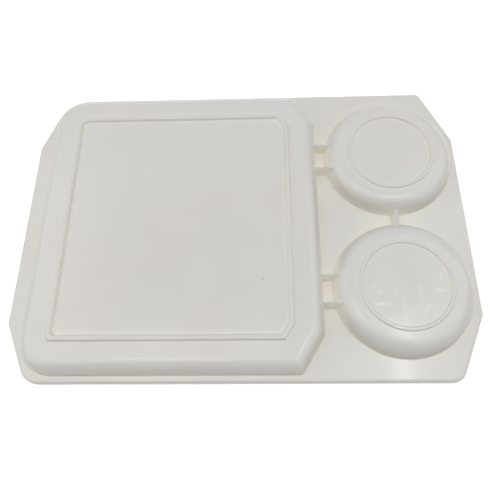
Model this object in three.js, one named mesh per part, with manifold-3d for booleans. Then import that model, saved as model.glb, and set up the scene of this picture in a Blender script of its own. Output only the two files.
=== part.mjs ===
// Pill counting tray, moulded in thin off-white plastic, turned face down.
// Millimetres, +Z up. The tray stands on the lower edge of its rim at z = 0, centred on the
// origin: +X runs from the counting basin towards the two cups, +Y from the front to the rear.
// In this position the basin and the cups are domes, and the feet that carry the tray in use
// are the beads on top. Every hollow opens downwards.
import * as THREE from 'three';
import { mergeVertices } from 'three/addons/utils/BufferGeometryUtils.js';
import Module from 'manifold-3d';

// Whole tray
const TRAY_LENGTH = 300;
const TRAY_WIDTH = 211;
const WALL = 1.8;
const HOLLOW_DEPTH = 12; // from the deck's outer face to the outer face of basin and cups
const SEAM = 0.3; // clearance between neighbouring pieces

// Rim: the deck's edge rolled over by a quarter round, and a short straight skirt
const RIM_RADIUS = 2.2;
const RIM_HEIGHT = 3.5; // from the counter to the deck's outer face

// Corners of the deck, each cut off at a slant: length of the cut along X and along Y, and the
// rounding where it runs into the front or rear edge
const FRONT_LEFT_CORNER = { cutX: 16.5, cutY: 37.5, radius: 14 };
const FRONT_RIGHT_CORNER = { cutX: 18.5, cutY: 41, radius: 10 };
const REAR_RIGHT_CORNER = { cutX: 18.8, cutY: 41, radius: 4 };
const REAR_LEFT_CORNER = { cutX: 15.6, cutY: 41.8, radius: 23 };

// Counting basin
const BASIN_LEFT_MARGIN = 13; // from the deck's left edge to the basin wall
const BASIN_FRONT_MARGIN = 4.8;
const BASIN_REAR_MARGIN = 7.2;
const BASIN_EDGE_RADIUS = 9; // rounding between wall and floor
const BASIN_CORNER_RADIUS = 20.5; // the two left corners, seen from above
const BASIN_CUT_X = 14.5; // the two right corners are cut off at a slant
const BASIN_CUT_Y = 23.7;
const BASIN_BEAD_INSET = 18.9; // from the basin wall to the outer side of its foot bead

// Cups
const CUP_RIGHT_MARGIN = 4.7; // from the deck's right edge to the cup wall
const CUP_END_MARGIN = 13.7; // from the deck's front or rear edge to the cup wall
const CUP_SPACING = 8; // between the two cup walls
const CUP_EDGE_RADIUS = 11.4;
const CUP_BEAD_INSET = 14.6;

// Foot beads: the tray stands on the basin's in use, and those of the cups are finer and lower
const BASIN_BEAD_WIDTH = 3.2;
const BASIN_BEAD_HEIGHT = 2.2;
const CUP_BEAD_WIDTH = 2.4;
const CUP_BEAD_HEIGHT = 1.4;
const BEAD_ROUND = 1;

// Ribs on the deck, upright plates that tie the basin and the cups together
const RIB_SPAN = 6.6; // between basin wall and cup wall, at their closest
const PAIR_RIB_THICKNESS = 1.4;
const PAIR_RIB_HEIGHT = 9.2;
const RIB_PAIR_SPACING = 18.2;
const RIB_PAIR_SHIFT = -2.1; // along Y from the cup's centre
const TIE_RIB_THICKNESS = 3; // between the two cups
const TIE_RIB_HEIGHT = 6.7;
const TIE_RIB_SHIFT = 0.4; // along X from the cups' centres

// Fineness of the round shapes
const CORNER_STEPS = 7;
const ROUND_STEPS = 5;
const BEAD_STEPS = 2;
const CUP_STEPS = 44;
const SAME_POINT = 1e-4; // vertices nearer than this are one

// Heights
const DECK_TOP = RIM_HEIGHT;
const DECK_BOTTOM = DECK_TOP - WALL;
const FLOOR_TOP = DECK_TOP + HOLLOW_DEPTH;
const FLOOR_BOTTOM = FLOOR_TOP - WALL;

// Cutting shapes run this far past the tray
const BEYOND = TRAY_LENGTH + TRAY_WIDTH;

// Places
const HALF_LENGTH = TRAY_LENGTH / 2;
const HALF_WIDTH = TRAY_WIDTH / 2;
const CUP_RADIUS = (HALF_WIDTH - CUP_END_MARGIN - CUP_SPACING / 2) / 2;
const CUP_X = HALF_LENGTH - CUP_RIGHT_MARGIN - CUP_RADIUS;
const CUP_Y = CUP_RADIUS + CUP_SPACING / 2;
const BASIN_LEFT = -HALF_LENGTH + BASIN_LEFT_MARGIN;
const BASIN_RIGHT = CUP_X - CUP_RADIUS - RIB_SPAN;
const BASIN_FRONT = -HALF_WIDTH + BASIN_FRONT_MARGIN;
const BASIN_REAR = HALF_WIDTH - BASIN_REAR_MARGIN;

const wasm = await Module();
wasm.setup();

const PLASTIC = { color: 0xd3d1cb, roughness: 0.42, metalness: 0 };

// Outlines, counter-clockwise seen from above
const trayCorners = [
  { x: -HALF_LENGTH, y: -HALF_WIDTH + FRONT_LEFT_CORNER.cutY, radius: 0 },
  { x: -HALF_LENGTH + FRONT_LEFT_CORNER.cutX, y: -HALF_WIDTH, radius: FRONT_LEFT_CORNER.radius },
  { x: HALF_LENGTH - FRONT_RIGHT_CORNER.cutX, y: -HALF_WIDTH, radius: FRONT_RIGHT_CORNER.radius },
  { x: HALF_LENGTH, y: -HALF_WIDTH + FRONT_RIGHT_CORNER.cutY, radius: 0 },
  { x: HALF_LENGTH, y: HALF_WIDTH - REAR_RIGHT_CORNER.cutY, radius: 0 },
  { x: HALF_LENGTH - REAR_RIGHT_CORNER.cutX, y: HALF_WIDTH, radius: REAR_RIGHT_CORNER.radius },
  { x: -HALF_LENGTH + REAR_LEFT_CORNER.cutX, y: HALF_WIDTH, radius: REAR_LEFT_CORNER.radius },
  { x: -HALF_LENGTH, y: HALF_WIDTH - REAR_LEFT_CORNER.cutY, radius: 0 },
];

const basinCorners = [
  { x: BASIN_LEFT, y: BASIN_FRONT, radius: BASIN_CORNER_RADIUS },
  { x: BASIN_RIGHT - BASIN_CUT_X, y: BASIN_FRONT, radius: 0 },
  { x: BASIN_RIGHT, y: BASIN_FRONT + BASIN_CUT_Y, radius: 0 },
  { x: BASIN_RIGHT, y: BASIN_REAR - BASIN_CUT_Y, radius: 0 },
  { x: BASIN_RIGHT - BASIN_CUT_X, y: BASIN_REAR, radius: 0 },
  { x: BASIN_LEFT, y: BASIN_REAR, radius: BASIN_CORNER_RADIUS },
];

// A convex outline moved inwards by inset. Its round corners stay concentric, and a corner
// whose radius is used up becomes sharp.
function outlinePoints(corners, inset) {
  const points = [];
  corners.forEach((corner, i) => {
    const before = corners[(i + corners.length - 1) % corners.length];
    const after = corners[(i + 1) % corners.length];
    const inDirection = new THREE.Vector2(corner.x - before.x, corner.y - before.y).normalize();
    const outDirection = new THREE.Vector2(after.x - corner.x, after.y - corner.y).normalize();
    const inNormal = new THREE.Vector2(inDirection.y, -inDirection.x);
    const outNormal = new THREE.Vector2(outDirection.y, -outDirection.x);
    const radius = corner.radius > 0 ? Math.max(corner.radius - inset, 0) : 0;
    const mitre = inNormal.clone().add(outNormal).divideScalar(1 + inNormal.dot(outNormal));
    const centre = new THREE.Vector2(corner.x, corner.y).addScaledVector(mitre, -inset - radius);
    if (radius === 0) {
      points.push(centre);
      return;
    }
    const start = inNormal.angle();
    const turn = Math.acos(inNormal.dot(outNormal));
    for (let step = 0; step <= CORNER_STEPS; step += 1) {
      const angle = start + (turn * step) / CORNER_STEPS;
      const arm = new THREE.Vector2(Math.cos(angle), Math.sin(angle)).multiplyScalar(radius);
      points.push(centre.clone().add(arm));
    }
  });
  return points;
}

function circlePoints(x, y, radius) {
  const points = [];
  for (let step = 0; step < CUP_STEPS; step += 1) {
    const angle = (2 * Math.PI * step) / CUP_STEPS;
    points.push(new THREE.Vector2(x + radius * Math.cos(angle), y + radius * Math.sin(angle)));
  }
  return points;
}

// The same faces with shared vertices, so that the body is closed
function closed(geometry) {
  geometry.deleteAttribute('normal');
  geometry.deleteAttribute('uv');
  return mergeVertices(geometry, SAME_POINT);
}

function solidOf(geometry) {
  const merged = closed(geometry);
  const mesh = new wasm.Mesh({
    numProp: 3,
    vertProperties: new Float32Array(merged.attributes.position.array),
    triVerts: new Uint32Array(merged.index.array),
  });
  return new wasm.Manifold(mesh);
}

function geometryOf(solid) {
  const mesh = solid.getMesh();
  const geometry = new THREE.BufferGeometry();
  geometry.setAttribute('position', new THREE.BufferAttribute(mesh.vertProperties, 3));
  geometry.setIndex(new THREE.BufferAttribute(mesh.triVerts, 1));
  geometry.computeVertexNormals();
  return geometry;
}

// A flat plate between two heights, with holes
function plate(points, bottom, top, holes = []) {
  const shape = new THREE.Shape(points);
  shape.holes = holes.map((hole) => new THREE.Path(hole));
  const geometry = new THREE.ExtrudeGeometry(shape, { depth: top - bottom, bevelEnabled: false });
  return geometry.translate(0, 0, bottom);
}

// Everything above a height, as a cutting shape
function above(height) {
  const block = new THREE.BoxGeometry(2 * BEYOND, 2 * BEYOND, 2 * BEYOND);
  return solidOf(block.translate(0, 0, height + BEYOND));
}

// A block with its upper edge rounded all round, standing on the height bottom
function roundedBlock(points, holes, bottom, top, round, steps) {
  const shape = new THREE.Shape(points);
  shape.holes = holes.map((hole) => new THREE.Path(hole));
  const geometry = new THREE.ExtrudeGeometry(shape, {
    depth: top - round - bottom,
    bevelThickness: round,
    bevelSize: round,
    bevelOffset: -round,
    bevelSegments: steps,
  });
  return solidOf(geometry.translate(0, 0, bottom)).intersect(above(bottom));
}

// The thin wall that a rounded block leaves when it is hollowed from below: its upright part
// and its round, without the flat top
function roundedWall(corners, bottom, top, round) {
  const outside = roundedBlock(outlinePoints(corners, 0), [], bottom, top, round, ROUND_STEPS);
  const inside = roundedBlock(
    outlinePoints(corners, WALL), [], bottom - BEYOND, top - WALL, round - WALL, ROUND_STEPS,
  );
  const middle = solidOf(plate(outlinePoints(corners, round), bottom, top + BEYOND));
  return outside.subtract(inside).subtract(middle);
}

function turned(profile) {
  const ring = profile.map(([radius, height]) => new THREE.Vector2(radius, height));
  const geometry = new THREE.LatheGeometry(ring, CUP_STEPS);
  return geometry.rotateX(Math.PI / 2);
}

// Points of a quarter round in a turned profile, from its outer side up to its top
function quarterRound(centreRadius, centreHeight, round, steps) {
  const points = [];
  for (let step = 0; step <= steps; step += 1) {
    const angle = (Math.PI / 2) * (step / steps);
    points.push([
      centreRadius + round * Math.cos(angle),
      centreHeight + round * Math.sin(angle),
    ]);
  }
  return points;
}

const cupPlaces = { rear: CUP_Y, front: -CUP_Y };

// The basin and the cups with a clearance around them, for trimming the ribs
function hollowsWithClearance() {
  const basinPoints = outlinePoints(basinCorners, -SEAM);
  const round = BASIN_EDGE_RADIUS + SEAM;
  let bodies = roundedBlock(basinPoints, [], 0, FLOOR_TOP + SEAM, round, ROUND_STEPS);
  const cupCentre = CUP_RADIUS - CUP_EDGE_RADIUS;
  const cupRound = quarterRound(
    cupCentre, FLOOR_TOP - CUP_EDGE_RADIUS, CUP_EDGE_RADIUS + SEAM, ROUND_STEPS,
  );
  const profile = [[0, 0], [CUP_RADIUS + SEAM, 0], ...cupRound, [0, FLOOR_TOP + SEAM]];
  Object.values(cupPlaces).forEach((y) => {
    bodies = bodies.add(solidOf(turned(profile).translate(CUP_X, y, 0)));
  });
  return bodies;
}

// Pieces

function deckPlate() {
  const holes = [
    outlinePoints(basinCorners, -SEAM),
    ...Object.values(cupPlaces).map((y) => circlePoints(CUP_X, y, CUP_RADIUS + SEAM)),
  ];
  return closed(plate(outlinePoints(trayCorners, RIM_RADIUS + SEAM), DECK_BOTTOM, DECK_TOP, holes));
}

function rimLip() {
  return geometryOf(roundedWall(trayCorners, 0, DECK_TOP, RIM_RADIUS));
}

function basinWall() {
  return geometryOf(roundedWall(basinCorners, DECK_BOTTOM, FLOOR_TOP, BASIN_EDGE_RADIUS));
}

function basinFloor() {
  const points = outlinePoints(basinCorners, BASIN_EDGE_RADIUS + SEAM);
  return closed(plate(points, FLOOR_BOTTOM, FLOOR_TOP));
}

function basinFootBead() {
  const outside = outlinePoints(basinCorners, BASIN_BEAD_INSET);
  const inside = outlinePoints(basinCorners, BASIN_BEAD_INSET + BASIN_BEAD_WIDTH);
  const top = FLOOR_TOP + BASIN_BEAD_HEIGHT;
  return geometryOf(roundedBlock(outside, [inside], FLOOR_TOP, top, BEAD_ROUND, BEAD_STEPS));
}

function cupWall() {
  const centre = CUP_RADIUS - CUP_EDGE_RADIUS;
  const height = FLOOR_TOP - CUP_EDGE_RADIUS;
  const inner = quarterRound(centre, height, CUP_EDGE_RADIUS - WALL, ROUND_STEPS).reverse();
  const profile = [
    [CUP_RADIUS, DECK_BOTTOM],
    ...quarterRound(centre, height, CUP_EDGE_RADIUS, ROUND_STEPS),
    ...inner,
    [CUP_RADIUS - WALL, DECK_BOTTOM],
    [CUP_RADIUS, DECK_BOTTOM],
  ];
  return closed(turned(profile));
}

function cupFloor() {
  const radius = CUP_RADIUS - CUP_EDGE_RADIUS - SEAM;
  return closed(turned([[0, FLOOR_BOTTOM], [radius, FLOOR_BOTTOM], [radius, FLOOR_TOP], [0, FLOOR_TOP]]));
}

function cupFootBead() {
  const outer = CUP_RADIUS - CUP_BEAD_INSET;
  const inner = outer - CUP_BEAD_WIDTH;
  const height = FLOOR_TOP + CUP_BEAD_HEIGHT - BEAD_ROUND;
  const innerRound = quarterRound(0, height, BEAD_ROUND, BEAD_STEPS).reverse();
  const profile = [
    [outer, FLOOR_TOP],
    ...quarterRound(outer - BEAD_ROUND, height, BEAD_ROUND, BEAD_STEPS),
    ...innerRound.map(([radius, z]) => [inner + BEAD_ROUND - radius, z]),
    [inner, FLOOR_TOP],
    [outer, FLOOR_TOP],
  ];
  return closed(turned(profile));
}

// A rib is an upright plate standing on the deck, trimmed to the hollows it joins
function rib(sizeX, sizeY, height, x, y) {
  const box = new THREE.BoxGeometry(sizeX, sizeY, height);
  const solid = solidOf(box.translate(x, y, DECK_TOP + height / 2));
  return geometryOf(solid.subtract(hollowsWithClearance()));
}

function pairRib(y) {
  const middle = (CUP_X + BASIN_RIGHT) / 2;
  return rib(CUP_X - BASIN_RIGHT, PAIR_RIB_THICKNESS, PAIR_RIB_HEIGHT, middle, y);
}

function tieRib() {
  return rib(TIE_RIB_THICKNESS, 2 * CUP_Y, TIE_RIB_HEIGHT, CUP_X + TIE_RIB_SHIFT, 0);
}

// Assembly

const tray = new THREE.Group();
tray.name = 'pill_counting_tray';

function addPiece(name, geometry, x = 0, y = 0) {
  const piece = new THREE.Mesh(geometry, new THREE.MeshStandardMaterial(PLASTIC));
  piece.name = name;
  piece.position.set(x, y, 0);
  tray.add(piece);
}

addPiece('deck_plate', deckPlate());
addPiece('rim_lip', rimLip());
addPiece('basin_wall', basinWall());
addPiece('basin_floor', basinFloor());
addPiece('basin_foot_bead', basinFootBead());

Object.entries(cupPlaces).forEach(([place, y]) => {
  addPiece(`${place}_cup_wall`, cupWall(), CUP_X, y);
  addPiece(`${place}_cup_floor`, cupFloor(), CUP_X, y);
  addPiece(`${place}_cup_foot_bead`, cupFootBead(), CUP_X, y);
  const pairMiddle = y + RIB_PAIR_SHIFT;
  addPiece(`${place}_cup_rear_rib`, pairRib(pairMiddle + RIB_PAIR_SPACING / 2));
  addPiece(`${place}_cup_front_rib`, pairRib(pairMiddle - RIB_PAIR_SPACING / 2));
});
addPiece('cup_tie_rib', tieRib());

export default tray;
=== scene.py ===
import math

import bmesh
import bpy
from mathutils import Matrix, Vector
from mathutils.geometry import tessellate_polygon


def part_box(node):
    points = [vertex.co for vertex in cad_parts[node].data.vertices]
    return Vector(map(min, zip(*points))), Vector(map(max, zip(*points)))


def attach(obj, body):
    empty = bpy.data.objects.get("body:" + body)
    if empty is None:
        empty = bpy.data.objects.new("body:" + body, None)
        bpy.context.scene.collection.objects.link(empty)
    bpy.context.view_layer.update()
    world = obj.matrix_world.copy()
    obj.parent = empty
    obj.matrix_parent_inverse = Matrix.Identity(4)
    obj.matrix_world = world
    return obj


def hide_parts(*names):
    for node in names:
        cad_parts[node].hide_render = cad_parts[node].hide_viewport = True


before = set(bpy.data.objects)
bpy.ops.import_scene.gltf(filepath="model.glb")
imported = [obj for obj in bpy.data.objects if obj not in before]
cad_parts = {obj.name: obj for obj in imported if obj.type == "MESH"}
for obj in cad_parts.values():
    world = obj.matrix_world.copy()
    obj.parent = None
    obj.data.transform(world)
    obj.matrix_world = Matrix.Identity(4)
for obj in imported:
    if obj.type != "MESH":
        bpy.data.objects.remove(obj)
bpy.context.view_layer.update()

# Deck plate. The flat web of the tray between its hollows, part of one injection moulding in
# natural off-white polypropylene. It lies face down here, so its smooth counting side is below
# and the side that shows is the satin one that the mould's core left.
MM = 0.001  # one millimetre, in metres
deck_low, deck_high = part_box("deck_plate")
rim_low, rim_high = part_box("rim_lip")
basin_low, basin_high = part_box("basin_wall")
WALL_THICKNESS = deck_high.z - deck_low.z
FOOT_FILLET = 0.5 * MM  # hollow rounding where a wall leaves the deck
LAND = 0.3 * MM  # flat strip beside a rounding, up to the next piece
SOFT_CORNER = 5 * MM  # rounding, seen from above, of the blunt corners
ARC_STEPS = 10  # faces round each corner, seen from above
CUP_STEPS = 144  # faces round a cup
CORNER_MARGIN = 1.2 * MM  # from a corner's arc to the point beside it on the straight side

# one entry per corner: x, y, radius, counter-clockwise from the front left
tray_corners = [
    (rim_low.x, rim_low.y + 37.5 * MM, SOFT_CORNER),
    (rim_low.x + 16.5 * MM, rim_low.y, 14 * MM),
    (rim_high.x - 18.5 * MM, rim_low.y, 10 * MM),
    (rim_high.x, rim_low.y + 41 * MM, SOFT_CORNER),
    (rim_high.x, rim_high.y - 41 * MM, SOFT_CORNER),
    (rim_high.x - 18.8 * MM, rim_high.y, 4 * MM),
    (rim_low.x + 15.6 * MM, rim_high.y, 23 * MM),
    (rim_low.x, rim_high.y - 41.8 * MM, SOFT_CORNER),
]
basin_corners = [
    (basin_low.x, basin_low.y, 20.5 * MM),
    (basin_high.x - 14.5 * MM, basin_low.y, 4 * MM),
    (basin_high.x, basin_low.y + 23.7 * MM, SOFT_CORNER),
    (basin_high.x, basin_high.y - 23.7 * MM, SOFT_CORNER),
    (basin_high.x - 14.5 * MM, basin_high.y, 4 * MM),
    (basin_low.x, basin_high.y, 20.5 * MM),
]
cup_places = {}
for place in ("rear", "front"):
    low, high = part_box(f"{place}_cup_wall")
    cup_places[place] = ((low + high) / 2, (high.x - low.x) / 2)


def cornered_line(corners, inset):
    """The outline moved inwards. Each corner has as many points at every inset."""
    points = []
    for i, (x, y, radius) in enumerate(corners):
        here = Vector((x, y))
        before = Vector(corners[i - 1][:2])
        after = Vector(corners[(i + 1) % len(corners)][:2])
        arriving = (here - before).normalized()
        leaving = (after - here).normalized()
        side_in = Vector((arriving.y, -arriving.x))
        side_out = Vector((leaving.y, -leaving.x))
        bend = max(radius - inset, 0)
        mitre = (side_in + side_out) / (1 + side_in.dot(side_out))
        centre = here - mitre * (inset + bend)
        start = math.atan2(side_in.y, side_in.x)
        turn = side_in.angle(side_out)
        arc = []
        for step in range(ARC_STEPS + 1):
            angle = start + turn * step / ARC_STEPS
            arc.append(centre + bend * Vector((math.cos(angle), math.sin(angle))))
        first = arc[0] - arriving * CORNER_MARGIN
        last = arc[-1] + leaving * CORNER_MARGIN
        points += [first, *arc, last]
    return points


def tray_line(inset):
    return cornered_line(tray_corners, inset)


def basin_line(inset):
    return cornered_line(basin_corners, inset)


def cup_line(place):
    """The round outline of one cup, as a function of the inset."""
    centre, radius = cup_places[place]

    def line(inset):
        around = []
        for step in range(CUP_STEPS):
            angle = math.tau * step / CUP_STEPS
            arm = Vector((math.cos(angle), math.sin(angle)))
            around.append(centre.xy + (radius - inset) * arm)
        return around

    return line


SHARP_ANGLE = math.radians(40)
SAME_PLACE = 0.001 * MM  # points closer than this are one


def finished_piece(name, shape):
    """A piece from a bmesh: closed, facing outwards, smooth except along its sharp edges."""
    bmesh.ops.remove_doubles(shape, verts=shape.verts, dist=SAME_PLACE)
    bmesh.ops.dissolve_degenerate(shape, edges=shape.edges, dist=SAME_PLACE)
    bmesh.ops.recalc_face_normals(shape, faces=shape.faces)
    for face in shape.faces:
        face.smooth = True
    for edge in shape.edges:
        edge.smooth = edge.calc_face_angle(0) < SHARP_ANGLE
    mesh = bpy.data.meshes.new(name)
    shape.to_mesh(mesh)
    shape.free()
    piece = bpy.data.objects.new(name, mesh)
    bpy.context.scene.collection.objects.link(piece)
    return piece


def flat_plate(name, outline, holes, bottom, top):
    """A flat piece between two heights, with upright sides and holes through it."""
    shape = bmesh.new()
    loops = [outline, *holes]
    levels = []
    for height in (bottom, top):
        levels.append([[shape.verts.new((p.x, p.y, height)) for p in loop] for loop in loops])
    flat = [[Vector((p.x, p.y, 0)) for p in loop] for loop in loops]
    for level in levels:
        numbered = [vert for loop in level for vert in loop]
        for triangle in tessellate_polygon(flat):
            shape.faces.new([numbered[i] for i in triangle])
    for lower, upper in zip(*levels):
        for i in range(len(lower)):
            shape.faces.new([lower[i - 1], lower[i], upper[i], upper[i - 1]])
    return finished_piece(name, shape)


def node_group(name, inputs, outputs):
    """An empty shader node group with named sockets, and its two end nodes."""
    group = bpy.data.node_groups.new(name, "ShaderNodeTree")
    for socket, kind, value in inputs:
        made = group.interface.new_socket(socket, in_out="INPUT", socket_type=kind)
        made.default_value = value
    for socket, kind in outputs:
        group.interface.new_socket(socket, in_out="OUTPUT", socket_type=kind)
    return group, group.nodes.new("NodeGroupInput"), group.nodes.new("NodeGroupOutput")


def math_node(tree, operation, *values, clamp=False):
    """A Math node. Each value is a number or a socket."""
    node = tree.nodes.new("ShaderNodeMath")
    node.operation = operation
    node.use_clamp = clamp
    for socket, value in zip(node.inputs, values):
        if isinstance(value, (int, float)):
            socket.default_value = value
        else:
            tree.links.new(value, socket)
    return node.outputs[0]


def noise_node(tree, place, scale, detail, stretch=None):
    """A noise over the piece's own position, with features about 1/scale metres across."""
    if stretch:
        turned = tree.nodes.new("ShaderNodeMapping")
        turned.inputs["Scale"].default_value = stretch
        tree.links.new(place, turned.inputs["Vector"])
        place = turned.outputs["Vector"]
    node = tree.nodes.new("ShaderNodeTexNoise")
    node.inputs["Scale"].default_value = scale
    node.inputs["Detail"].default_value = detail
    tree.links.new(place, node.inputs["Vector"])
    return node.outputs["Fac"]


def colour_mix(tree, share, first, second, blend="MIX"):
    """A Mix node for colours. Its share is input 0, its colours 6 and 7, its result output 2."""
    node = tree.nodes.new("ShaderNodeMix")
    node.data_type = "RGBA"
    node.blend_type = blend
    sockets = (node.inputs[0], node.inputs[6], node.inputs[7])
    for socket, value in zip(sockets, (share, first, second)):
        if isinstance(value, (int, float, tuple)):
            socket.default_value = value
        else:
            tree.links.new(value, socket)
    return node.outputs[2]


ROSY_WHITE = (0.65, 0.626, 0.59)
COOL_WHITE = (0.622, 0.625, 0.598)
# painted shade: steep faces take this darker, warmer colour in place of the shade that falls on
# the walls
PAINTED_STEEP_SHADE = (0.55, 0.514, 0.445)
# painted light: close corners take this paler, warmer colour in place of the light that comes
# through the thin plastic and bounces between its faces
PAINTED_CORNER_LIGHT = (0.93, 0.895, 0.81)
PAINTED_LIGHT_REACH = 16 * MM  # how near another face has to be to tint a corner


def satin_skin_group():
    """The skin of moulded polypropylene: cloudy colour, painted steep shading, fine grain, soft
    waves.

    Its close corners take painted light, paler and warmer, for the light that soaks through the
    thin plastic.
    """
    group, given, out = node_group(
        "satin_skin",
        [
            ("Colour", "NodeSocketColor", (*ROSY_WHITE, 1)),
            ("Cloud colour", "NodeSocketColor", (*COOL_WHITE, 1)),
            ("Painted steep shading", "NodeSocketColor", (*PAINTED_STEEP_SHADE, 1)),
            ("Painted corner light", "NodeSocketColor", (*PAINTED_CORNER_LIGHT, 1)),
            ("Plain roughness", "NodeSocketFloat", 0.32),
            ("Cloudiness", "NodeSocketFloat", 0.05),
        ],
        [
            ("Colour", "NodeSocketColor"),
            ("Roughness", "NodeSocketFloat"),
            ("Height", "NodeSocketFloat"),
        ],
    )
    coordinates = group.nodes.new("ShaderNodeTexCoord")
    place = coordinates.outputs["Object"]
    clouds = noise_node(group, place, scale=14, detail=3)
    patches = noise_node(group, place, scale=55, detail=3, stretch=(1, 0.7, 1))

    # the flat faces vary between two whites, and the steeper a face is, the more it takes the
    # steep colour: painted shading by how the face leans
    facing = group.nodes.new("ShaderNodeSeparateXYZ")
    group.links.new(coordinates.outputs["Normal"], facing.inputs[0])
    upright = math_node(group, "ABSOLUTE", facing.outputs["Z"])
    slope = math_node(group, "SUBTRACT", 1.0, upright, clamp=True)
    steep = math_node(group, "POWER", slope, 1.4)
    tinted = math_node(group, "MULTIPLY_ADD", clouds, 3.0, -1.0, clamp=True)
    flat = colour_mix(group, tinted, given.outputs["Colour"], given.outputs["Cloud colour"])
    sided = colour_mix(group, steep, flat, given.outputs["Painted steep shading"])

    # painted light: where its neighbours shut off a little of the open space, a corner takes the
    # corner colour, paler and warmer than the plain one
    openness = group.nodes.new("ShaderNodeAmbientOcclusion")
    openness.inputs["Distance"].default_value = PAINTED_LIGHT_REACH
    closeness = math_node(group, "SUBTRACT", 1.0, openness.outputs["AO"])
    painted_light_share = math_node(group, "MULTIPLY_ADD", closeness, 1.2, -0.08, clamp=True)
    cornered = colour_mix(group, painted_light_share, sided, given.outputs["Painted corner light"])

    # faint clouds, darker and lighter than the plain colour
    both = math_node(group, "ADD", clouds, patches)
    centred = math_node(group, "SUBTRACT", both, 1.0)
    amount = math_node(group, "MULTIPLY", centred, given.outputs["Cloudiness"])
    shade = math_node(group, "ADD", amount, 1.0)
    grey = group.nodes.new("ShaderNodeCombineColor")
    for channel in grey.inputs[:3]:
        group.links.new(shade, channel)
    clouded = colour_mix(group, 1.0, cornered, grey.outputs[0], "MULTIPLY")
    group.links.new(clouded, out.inputs["Colour"])

    # smudges in the gloss, and a surface of fine grain, flow ripples and wide waves, in mm
    smudges = math_node(group, "MULTIPLY", math_node(group, "SUBTRACT", patches, 0.5), 0.1)
    rough = math_node(group, "ADD", given.outputs["Plain roughness"], smudges, clamp=True)
    group.links.new(rough, out.inputs["Roughness"])
    grain_noise = noise_node(group, place, scale=1400, detail=2)
    grain = math_node(group, "MULTIPLY", grain_noise, 0.004)
    ripple_noise = noise_node(group, place, scale=130, detail=1, stretch=(1, 0.35, 1))
    ripples = math_node(group, "MULTIPLY", ripple_noise, 0.035)
    waves = math_node(group, "MULTIPLY", noise_node(group, place, scale=22, detail=2), 0.35)
    fine = math_node(group, "ADD", grain, ripples)
    group.links.new(math_node(group, "ADD", fine, waves), out.inputs["Height"])
    return group


satin_skin = satin_skin_group()


def moulded_plastic(name, roughness, cloudiness, steep=PAINTED_STEEP_SHADE, corner=PAINTED_CORNER_LIGHT, level=1.0):
    """A satin polypropylene with a thin gloss. level scales the colour of its flat faces, steep
    is the painted shading of its steep faces, and corner is the painted light in its close
    corners.
    """
    material = bpy.data.materials.new(name)
    material.use_nodes = True
    tree = material.node_tree
    shader = tree.nodes["Principled BSDF"]
    shader.inputs["IOR"].default_value = 1.49
    shader.inputs["Coat Weight"].default_value = 0.35
    shader.inputs["Coat Roughness"].default_value = 0.12
    skin = tree.nodes.new("ShaderNodeGroup")
    skin.node_tree = satin_skin
    skin.inputs["Colour"].default_value = (*(c * level for c in ROSY_WHITE), 1)
    skin.inputs["Cloud colour"].default_value = (*(c * level for c in COOL_WHITE), 1)
    skin.inputs["Painted steep shading"].default_value = (*steep, 1)
    skin.inputs["Painted corner light"].default_value = (*corner, 1)
    skin.inputs["Plain roughness"].default_value = roughness
    skin.inputs["Cloudiness"].default_value = cloudiness
    bump = tree.nodes.new("ShaderNodeBump")
    bump.inputs["Strength"].default_value = 1
    bump.inputs["Distance"].default_value = MM
    tree.links.new(skin.outputs["Colour"], shader.inputs["Base Color"])
    tree.links.new(skin.outputs["Roughness"], shader.inputs["Roughness"])
    tree.links.new(skin.outputs["Height"], bump.inputs["Height"])
    tree.links.new(bump.outputs["Normal"], shader.inputs["Normal"])
    return material


def mounted(piece, node, material):
    """The piece rides on the tray and stands for its CAD node."""
    piece.data.materials.append(material)
    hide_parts(node)
    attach(piece, "root")


# the rim's rounding takes the painted shade of steep faces, and the deck takes painted light
# beside the walls
deck_plastic = moulded_plastic("deck_plastic", roughness=0.32, cloudiness=0.05)
RIM_ROUND = 2.2 * MM  # the deck ends where the rim's rounding begins
deck_holes = [basin_line(-FOOT_FILLET - LAND)]
deck_holes += [cup_line(place)(-FOOT_FILLET - LAND) for place in cup_places]
deck = flat_plate("deck", tray_line(RIM_ROUND + LAND), deck_holes, deck_low.z, deck_high.z)
mounted(deck, "deck_plate", deck_plastic)

# Rim. The deck's edge turned over all round in a quarter round and a short skirt, which gives
# the thin tray its stiffness. It is the same moulding, and the tray lies on its lower edge.
EDGE_ROUND = 0.25 * MM  # at both sides of the skirt's lower edge


def arc_points(across, height, radius, first, last, steps):
    """Points of a section on an arc, by angle in degrees. 0 is outwards and 90 is up."""
    points = []
    for step in range(steps + 1):
        angle = math.radians(first + (last - first) * step / steps)
        points.append((across - radius * math.cos(angle), height + radius * math.sin(angle)))
    return points


def ring_piece(name, line, section):
    """A body that follows a line all round. The section is a closed list of (inset, height)."""
    shape = bmesh.new()
    rings = []
    for inset, height in section:
        rings.append([shape.verts.new((p.x, p.y, height)) for p in line(inset)])
    for i, ring in enumerate(rings):
        before = rings[i - 1]
        for j in range(len(ring)):
            shape.faces.new([before[j - 1], before[j], ring[j], ring[j - 1]])
    return finished_piece(name, shape)


round_centre = rim_high.z - RIM_ROUND
edge_centre = rim_low.z + EDGE_ROUND
rim_section = [
    (RIM_ROUND + LAND, rim_high.z),
    *arc_points(RIM_ROUND, round_centre, RIM_ROUND, 90, 0, steps=14),
    *arc_points(EDGE_ROUND, edge_centre, EDGE_ROUND, 0, -90, steps=3),
    *arc_points(WALL_THICKNESS - EDGE_ROUND, edge_centre, EDGE_ROUND, 270, 180, steps=3),
    *arc_points(RIM_ROUND, round_centre, RIM_ROUND - WALL_THICKNESS, 0, 90, steps=8),
    (RIM_ROUND + LAND, deck_low.z),
]
rim = ring_piece("rim", tray_line, rim_section)
mounted(rim, "rim_lip", deck_plastic)

# Basin wall. The upright side of the counting basin with its wide rounding up to the floor. Its
# foot runs into the deck in a small hollow fillet, as moulded plastic does everywhere.
BASIN_ROUND = 9 * MM


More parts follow.
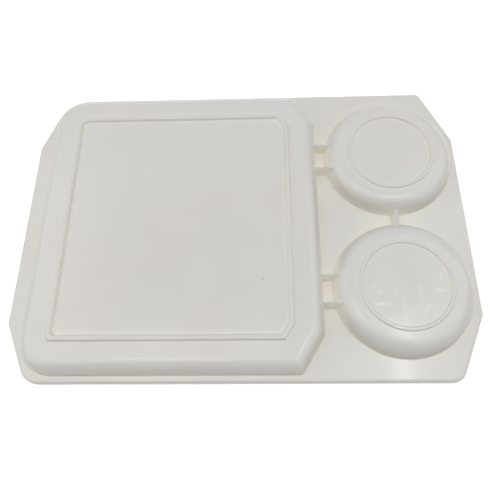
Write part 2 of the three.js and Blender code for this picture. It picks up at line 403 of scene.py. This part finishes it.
def wall_section(round_radius, top):
    """The section of a hollow's wall, from the deck outside over the round and back inside."""
    foot = deck_high.z + FOOT_FILLET
    centre = top - round_radius
    inner_fillet = FOOT_FILLET + WALL_THICKNESS
    return [
        (-FOOT_FILLET - LAND, deck_high.z),
        *arc_points(-FOOT_FILLET, foot, -FOOT_FILLET, 90, 0, steps=6),
        *arc_points(round_radius, centre, round_radius, 0, 90, steps=24),
        (round_radius + LAND, top),
        (round_radius + LAND, top - WALL_THICKNESS),
        *arc_points(round_radius, centre, round_radius - WALL_THICKNESS, 90, 0, steps=20),
        *arc_points(-FOOT_FILLET, foot, -inner_fillet, 0, 90, steps=10),
        (-FOOT_FILLET - LAND, deck_low.z),
    ]


# the walls take the painted shade of steep faces, darker and warmer, and painted light in the
# corner at their foot
hollow_plastic = moulded_plastic("hollow_plastic", roughness=0.31, cloudiness=0.05)
basin_wall = ring_piece("basin_side", basin_line, wall_section(BASIN_ROUND, basin_high.z))
mounted(basin_wall, "basin_wall", hollow_plastic)

# Basin floor. The flat bottom of the counting basin, on top here, of the same thin moulding.
# A few tiny dark specks of burnt plastic sit in its surface.
floor_low, floor_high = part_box("basin_floor")
floor_edge = basin_line(BASIN_ROUND + LAND)
basin_plate = flat_plate("basin_bottom", floor_edge, [], floor_low.z, floor_high.z)


def soft_spot(tree, place, middle, x, y, length, width, turn):
    """1 at the centre of an oval, falling to 0 at its edge. x and y are from the middle."""
    oval = tree.nodes.new("ShaderNodeMapping")
    oval.vector_type = "TEXTURE"
    oval.inputs["Location"].default_value = (middle.x + x * MM, middle.y + y * MM, 0)
    oval.inputs["Rotation"].default_value = (0, 0, math.radians(turn))
    oval.inputs["Scale"].default_value = (length / 2 * MM, width / 2 * MM, 1)
    tree.links.new(place, oval.inputs["Vector"])
    reach = tree.nodes.new("ShaderNodeVectorMath")
    reach.operation = "LENGTH"
    tree.links.new(oval.outputs["Vector"], reach.inputs[0])
    return math_node(tree, "SUBTRACT", 1.0, reach.outputs["Value"], clamp=True)


def add_marks(material, colour, middle, marks):
    """Small marks over a plastic, placed from the middle of its piece.

    Each is x, y, length and width in mm, a turn in degrees and a strength.
    """
    tree = material.node_tree
    base = tree.nodes["Principled BSDF"].inputs["Base Color"]
    skin_colour = base.links[0].from_socket
    place = tree.nodes.new("ShaderNodeTexCoord").outputs["Object"]
    broken = noise_node(tree, place, scale=500, detail=2)
    uneven = math_node(tree, "MULTIPLY_ADD", broken, 2.0, -0.4)
    total = 0.0
    for *oval, strength in marks:
        spot = soft_spot(tree, place, middle, *oval)
        total = math_node(tree, "MULTIPLY_ADD", spot, strength, total)
    share = math_node(tree, "MULTIPLY", total, uneven, clamp=True)
    tree.links.new(colour_mix(tree, share, skin_colour, (*colour, 1)), base)


BURNT_BROWN = (0.25, 0.22, 0.18)
floor_plastic = moulded_plastic("floor_plastic", roughness=0.31, cloudiness=0.05)
specks = [
    (56, -42.7, 1.6, 1.2, 0, 2.2),
    (-7, -38.4, 1.6, 1.2, 20, 0.5),
    (-6.8, -26.3, 1.4, 1.1, 0, 0.4),
]
add_marks(floor_plastic, BURNT_BROWN, (floor_low + floor_high) / 2, specks)
mounted(basin_plate, "basin_floor", floor_plastic)

# Basin foot bead. A low raised line round the basin's bottom, moulded on, with rounded
# shoulders. The tray stands on it in use, and this one has two sharp bends at its right end.
BEAD_WIDTH = 3.2 * MM
BEAD_SHOULDER = 1.0 * MM  # rounding of its upper edges
BEAD_FOOT = 0.9 * MM  # hollow fillets where it leaves the floor
BEAD_SLANT_BEND = 1.2 * MM  # seen from above, at the slanted corners
BEAD_REAR_BEND = 4.5 * MM  # at the two square corners
BEAD_FRONT_BEND = 3 * MM
bead_low, bead_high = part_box("basin_foot_bead")
bead_inset = bead_low.x - basin_low.x
# painted light: the bead's slopes take this paler colour in place of the shade they would have
PAINTED_BEAD_SIDE_LIGHT = (0.82, 0.79, 0.71)
bead_plastic = moulded_plastic("bead_plastic", roughness=0.31, cloudiness=0.03, steep=PAINTED_BEAD_SIDE_LIGHT)


def bead_section(outer, inner, bottom, top, shoulder, foot):
    """The section of a bead between two insets, with round shoulders and hollow feet."""
    return [
        *arc_points(outer - foot, bottom + foot, -foot, 90, 0, steps=6),
        *arc_points(outer + shoulder, top - shoulder, shoulder, 0, 90, steps=8),
        *arc_points(inner - shoulder, top - shoulder, shoulder, 90, 180, steps=8),
        *arc_points(inner + foot, bottom + foot, -foot, 180, 90, steps=6),
    ]


def basin_bead_line(inset):
    """The basin's outline with the same tight corners at every inset."""
    corners = []
    for x, y, radius in basin_corners:
        bend = BEAD_SLANT_BEND
        if radius > SOFT_CORNER:
            bend = BEAD_REAR_BEND if y > 0 else BEAD_FRONT_BEND
        corners.append((x, y, inset + bend))
    return cornered_line(corners, inset)


section = bead_section(
    bead_inset, bead_inset + BEAD_WIDTH, bead_low.z, bead_high.z, BEAD_SHOULDER, BEAD_FOOT
)
basin_bead = ring_piece("basin_bead", basin_bead_line, section)
mounted(basin_bead, "basin_foot_bead", bead_plastic)

# Cup walls. The two round cups for counted tablets, each a turned shape with a deeper rounding
# than the basin's. They are moulded with the deck and flow into it in the same fillet.
CUP_ROUND = 11.4 * MM
for place in cup_places:
    section = wall_section(CUP_ROUND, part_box(f"{place}_cup_wall")[1].z)
    cup_side = ring_piece(f"{place}_cup_side", cup_line(place), section)
    mounted(cup_side, f"{place}_cup_wall", hollow_plastic)

# Cup floors. Thin round discs that close the cups. The front one has pale scuffs from its use,
# and faint upright streaks and a soft pale patch, which are painted reflections.
SCUFF_AND_SHEEN_WHITE = (0.9, 0.87, 0.82)
scuffed_and_sheen_plastic = moulded_plastic("scuffed_and_sheen_plastic", roughness=0.31, cloudiness=0.06)
scuffs_and_painted_streaks = [
    # pale scuffs from use
    (-15.6, -12.5, 12, 3.4, 2, 0.9),
    (-18, -4.8, 10, 3.6, 2, 0.6),
    (-19.4, -1.1, 8, 3.4, 0, 0.35),
    (21.5, 4.3, 3.4, 8, 0, 0.5),
    (19.8, -4.5, 12, 3.4, 4, 0.6),
    # painted reflections: faint upright streaks, and last a soft patch of painted sheen
    (-2.8, -15.1, 5, 20, 4, 0.3),
    (7.8, -4.4, 5, 16, 8, 0.35),
    (10.9, -16.1, 5, 14, -25, 0.35),
    (-7.2, -5.1, 5, 12, 0, 0.25),
    (2.6, -18.1, 18, 16, 0, 0.15),
]
add_marks(scuffed_and_sheen_plastic, SCUFF_AND_SHEEN_WHITE, cup_places["front"][0], scuffs_and_painted_streaks)
for place, finish in (("rear", hollow_plastic), ("front", scuffed_and_sheen_plastic)):
    low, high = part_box(f"{place}_cup_floor")
    edge = cup_line(place)(CUP_ROUND + LAND)
    disc = flat_plate(f"{place}_cup_bottom", edge, [], low.z, high.z)
    mounted(disc, f"{place}_cup_floor", finish)

# Cup foot beads. A finer and lower ring of the same kind on each cup, moulded with its floor.
# The basin's bead is higher, so in use these don't reach the counter.
RING_WIDTH = 2.4 * MM
RING_SHOULDER = 0.8 * MM
RING_FOOT = 0.6 * MM
for place in cup_places:
    low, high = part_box(f"{place}_cup_foot_bead")
    outer = cup_places[place][1] - (high.x - low.x) / 2
    inner = outer + RING_WIDTH
    section = bead_section(outer, inner, low.z, high.z, RING_SHOULDER, RING_FOOT)
    ring = ring_piece(f"{place}_cup_bead", cup_line(place), section)
    mounted(ring, f"{place}_cup_foot_bead", bead_plastic)

# Ribs. Short upright plates that brace the cups against the basin and against each other. They
# stand on the deck and run into the walls, with a small fillet at the foot and soft upper edges.
RIB_EDGE = 0.2 * MM  # rounding of the upper edges
RIB_FOOT = 0.6 * MM  # hollow fillet at the deck
RIB_ROOT = 0.6 * MM  # how far a rib's end reaches into a wall


def round_inset(height, round_radius, top):
    """How far a hollow's outer face stands back from its foot at a height."""
    rise = max(height - (top - round_radius), 0)
    return round_radius - math.sqrt(max(round_radius**2 - rise**2, 0))


def cup_reach(place, aside, height):
    """How far a cup's outer face is from its centre line, at a distance aside and a height."""
    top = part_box(f"{place}_cup_wall")[1].z
    radius = cup_places[place][1] - round_inset(height, CUP_ROUND, top) - RIB_ROOT
    return math.sqrt(radius**2 - aside**2)


def rib_section(thickness, bottom, top):
    """The closed section of a rib, as (aside, height) from its middle.

    The rows between foot and top let its ends follow the round walls.
    """
    half = thickness / 2
    right = [
        *arc_points(-half - RIB_FOOT, bottom + RIB_FOOT, -RIB_FOOT, 90, 0, steps=5),
        *[(-half, bottom + (top - bottom) * share) for share in (0.3, 0.45, 0.6, 0.75)],
        *arc_points(-half + RIB_EDGE, top - RIB_EDGE, RIB_EDGE, 0, 90, steps=4),
    ]
    return right + [(-aside, height) for aside, height in reversed(right)]


def rib_piece(name, section, ends):
    """A rib. ends(aside, height) gives its two end points for a place in its section."""
    shape = bmesh.new()
    rows = [[shape.verts.new(p) for p in ends(aside, height)] for aside, height in section]
    for i, row in enumerate(rows):
        shape.faces.new([rows[i - 1][0], row[0], row[1], rows[i - 1][1]])
    for side in (0, 1):
        shape.faces.new([row[side] for row in rows])
    bmesh.ops.triangulate(shape, faces=[face for face in shape.faces if len(face.verts) > 4])
    return finished_piece(name, shape)


def pair_rib_ends(place, middle):
    """The ends of a rib that runs along X from the basin to a cup, centred on Y at middle."""

    def ends(aside, height):
        y = middle + aside
        inset = round_inset(height, BASIN_ROUND, basin_high.z) + RIB_ROOT
        centre = cup_places[place][0]
        reach = cup_reach(place, y - centre.y, height)
        return (basin_high.x - inset, y, height), (centre.x - reach, y, height)

    return ends


# painted shading on the ribs: their tops are painted darker (level 0.8), and their sides and
# close corners paler and warmer, in place of the light that comes through the thin plates
PAINTED_RIB_SIDE_LIGHT = (0.98, 0.97, 0.91)
PAINTED_RIB_CORNER_LIGHT = (0.92, 0.89, 0.79)
rib_plastic = moulded_plastic(
    "rib_plastic", roughness=0.4, cloudiness=0.03, steep=PAINTED_RIB_SIDE_LIGHT, corner=PAINTED_RIB_CORNER_LIGHT, level=0.8
)
for place in cup_places:
    for end in ("rear", "front"):
        node = f"{place}_cup_{end}_rib"
        low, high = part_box(node)
        section = rib_section(high.y - low.y, low.z, high.z)
        ends = pair_rib_ends(place, (low.y + high.y) / 2)
        rib = rib_piece(f"{node}_plate", section, ends)
        mounted(rib, node, rib_plastic)

tie_low, tie_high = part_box("cup_tie_rib")


def tie_ends(aside, height):
    """The ends of the rib that runs along Y from the front cup to the rear one."""
    x = (tie_low.x + tie_high.x) / 2 + aside
    found = []
    for place, away in (("front", 1), ("rear", -1)):
        centre = cup_places[place][0]
        reach = cup_reach(place, x - centre.x, height)
        found.append((x, centre.y + away * reach, height))
    return found


section = rib_section(tie_high.x - tie_low.x, tie_low.z, tie_high.z)
tie = rib_piece("cup_tie_plate", section, tie_ends)
# painted shading on the tie rib as well: a darker top (level 0.86), and paler sides and corners
# as painted light
PAINTED_TIE_SIDE_LIGHT = (0.85, 0.8, 0.7)
PAINTED_TIE_CORNER_LIGHT = (0.72, 0.69, 0.61)
tie_plastic = moulded_plastic(
    "tie_plastic", roughness=0.4, cloudiness=0.03, steep=PAINTED_TIE_SIDE_LIGHT, corner=PAINTED_TIE_CORNER_LIGHT, level=0.86
)
mounted(tie, "cup_tie_rib", tie_plastic)

# Counter. A plain white surface for the tray to lie on. It isn't part of the tray, and it looks
# a little brighter than it is, so that its far part meets the white room.
COUNTER_HALF = 0.8
COUNTER_GLOW = 0.3
counter_shape = bmesh.new()
bmesh.ops.create_grid(counter_shape, x_segments=1, y_segments=1, size=COUNTER_HALF)
counter = finished_piece("counter", counter_shape)


def seen_itself(tree):
    """1 where the eye, a mirror or clear glass shows the surface, 0 where it only gives light."""
    ray = tree.nodes.new("ShaderNodeLightPath")
    seen = ray.outputs["Is Camera Ray"]
    for kind in ("Is Glossy Ray", "Is Transmission Ray"):
        seen = math_node(tree, "ADD", seen, ray.outputs[kind], clamp=True)
    return seen


counter_white = bpy.data.materials.new("counter_white")
counter_white.use_nodes = True
counter_tree = counter_white.node_tree
counter_shader = counter_tree.nodes["Principled BSDF"]
counter_shader.inputs["Base Color"].default_value = (0.9, 0.9, 0.9, 1)
counter_shader.inputs["Roughness"].default_value = 0.9
counter_shader.inputs["Emission Color"].default_value = (1, 1, 1, 1)
glow = math_node(counter_tree, "MULTIPLY", seen_itself(counter_tree), COUNTER_GLOW)
counter_tree.links.new(glow, counter_shader.inputs["Emission Strength"])
counter.data.materials.append(counter_white)

# Light and camera. A dim pale room, wide lamps above, beside and behind the tray, and two small
# ones overhead: one for the gloss at the basin's left, and a long narrow one for that on the
# cups. The camera stands in front of the tray and looks down steeply.
ROOM_LEVEL = 0.15
world = bpy.data.worlds.new("room")
bpy.context.scene.world = world
world.use_nodes = True
world_tree = world.node_tree
room = world_tree.nodes["Background"]
room.inputs["Color"].default_value = (1, 1, 1, 1)
white_seen = math_node(world_tree, "MULTIPLY", seen_itself(world_tree), 1 - ROOM_LEVEL)
room_level = math_node(world_tree, "ADD", white_seen, ROOM_LEVEL)
world_tree.links.new(room_level, room.inputs["Strength"])


def lamp(name, place, target, width, depth, watts):
    """A rectangular lamp at a place in metres, facing its target."""
    light = bpy.data.lights.new(name, "AREA")
    light.shape = "RECTANGLE"
    light.size = width
    light.size_y = depth
    light.energy = watts
    hung = bpy.data.objects.new(name, light)
    hung.location = place
    hung.rotation_euler = (Vector(target) - Vector(place)).to_track_quat("-Z", "Y").to_euler()
    bpy.context.scene.collection.objects.link(hung)


TRAY_PLACE = (0, 0, 0)
lamp("upper_lamp", (0, -0.25, 1.35), TRAY_PLACE, width=1.2, depth=0.9, watts=4.1)
lamp("left_lamp", (-1.1, 0, 1), TRAY_PLACE, width=1.8, depth=1.3, watts=10)
lamp("right_lamp", (1.1, 0, 1), TRAY_PLACE, width=1.8, depth=1.3, watts=8.3)
lamp("rear_lamp", (0, 1.1, 1), TRAY_PLACE, width=1.8, depth=1.3, watts=3)
lamp("left_small_lamp", (-0.34, -0.1, 1.3), (-0.34, -0.1, 0), width=0.25, depth=0.24, watts=0.8)
lamp("right_small_lamp", (0.458, 0, 1.3), (0.458, 0, 0), width=0.03, depth=0.46, watts=1.1)

CAMERA_PLACE = (0.014375, -0.136526, 0.297511)
PITCH, YAW, ROLL = (math.radians(angle) for angle in (68.2532, -4.7438, 5.0953))
camera = bpy.data.cameras.new("camera")
camera.sensor_width = 36
camera.lens = 34.297
stand = bpy.data.objects.new("camera", camera)
bpy.context.scene.collection.objects.link(stand)
forward = Vector(
    (math.sin(YAW) * math.cos(PITCH), math.cos(YAW) * math.cos(PITCH), -math.sin(PITCH))
)
right = Vector((math.cos(YAW), -math.sin(YAW), 0))
down = forward.cross(right)
across = right * math.cos(ROLL) + down * math.sin(ROLL)
below = down * math.cos(ROLL) - right * math.sin(ROLL)
turn = Matrix((across, -below, -forward)).transposed().to_4x4()
stand.matrix_world = Matrix.Translation(CAMERA_PLACE) @ turn
bpy.context.scene.camera = stand
bpy.context.scene.view_settings.view_transform = "Standard"
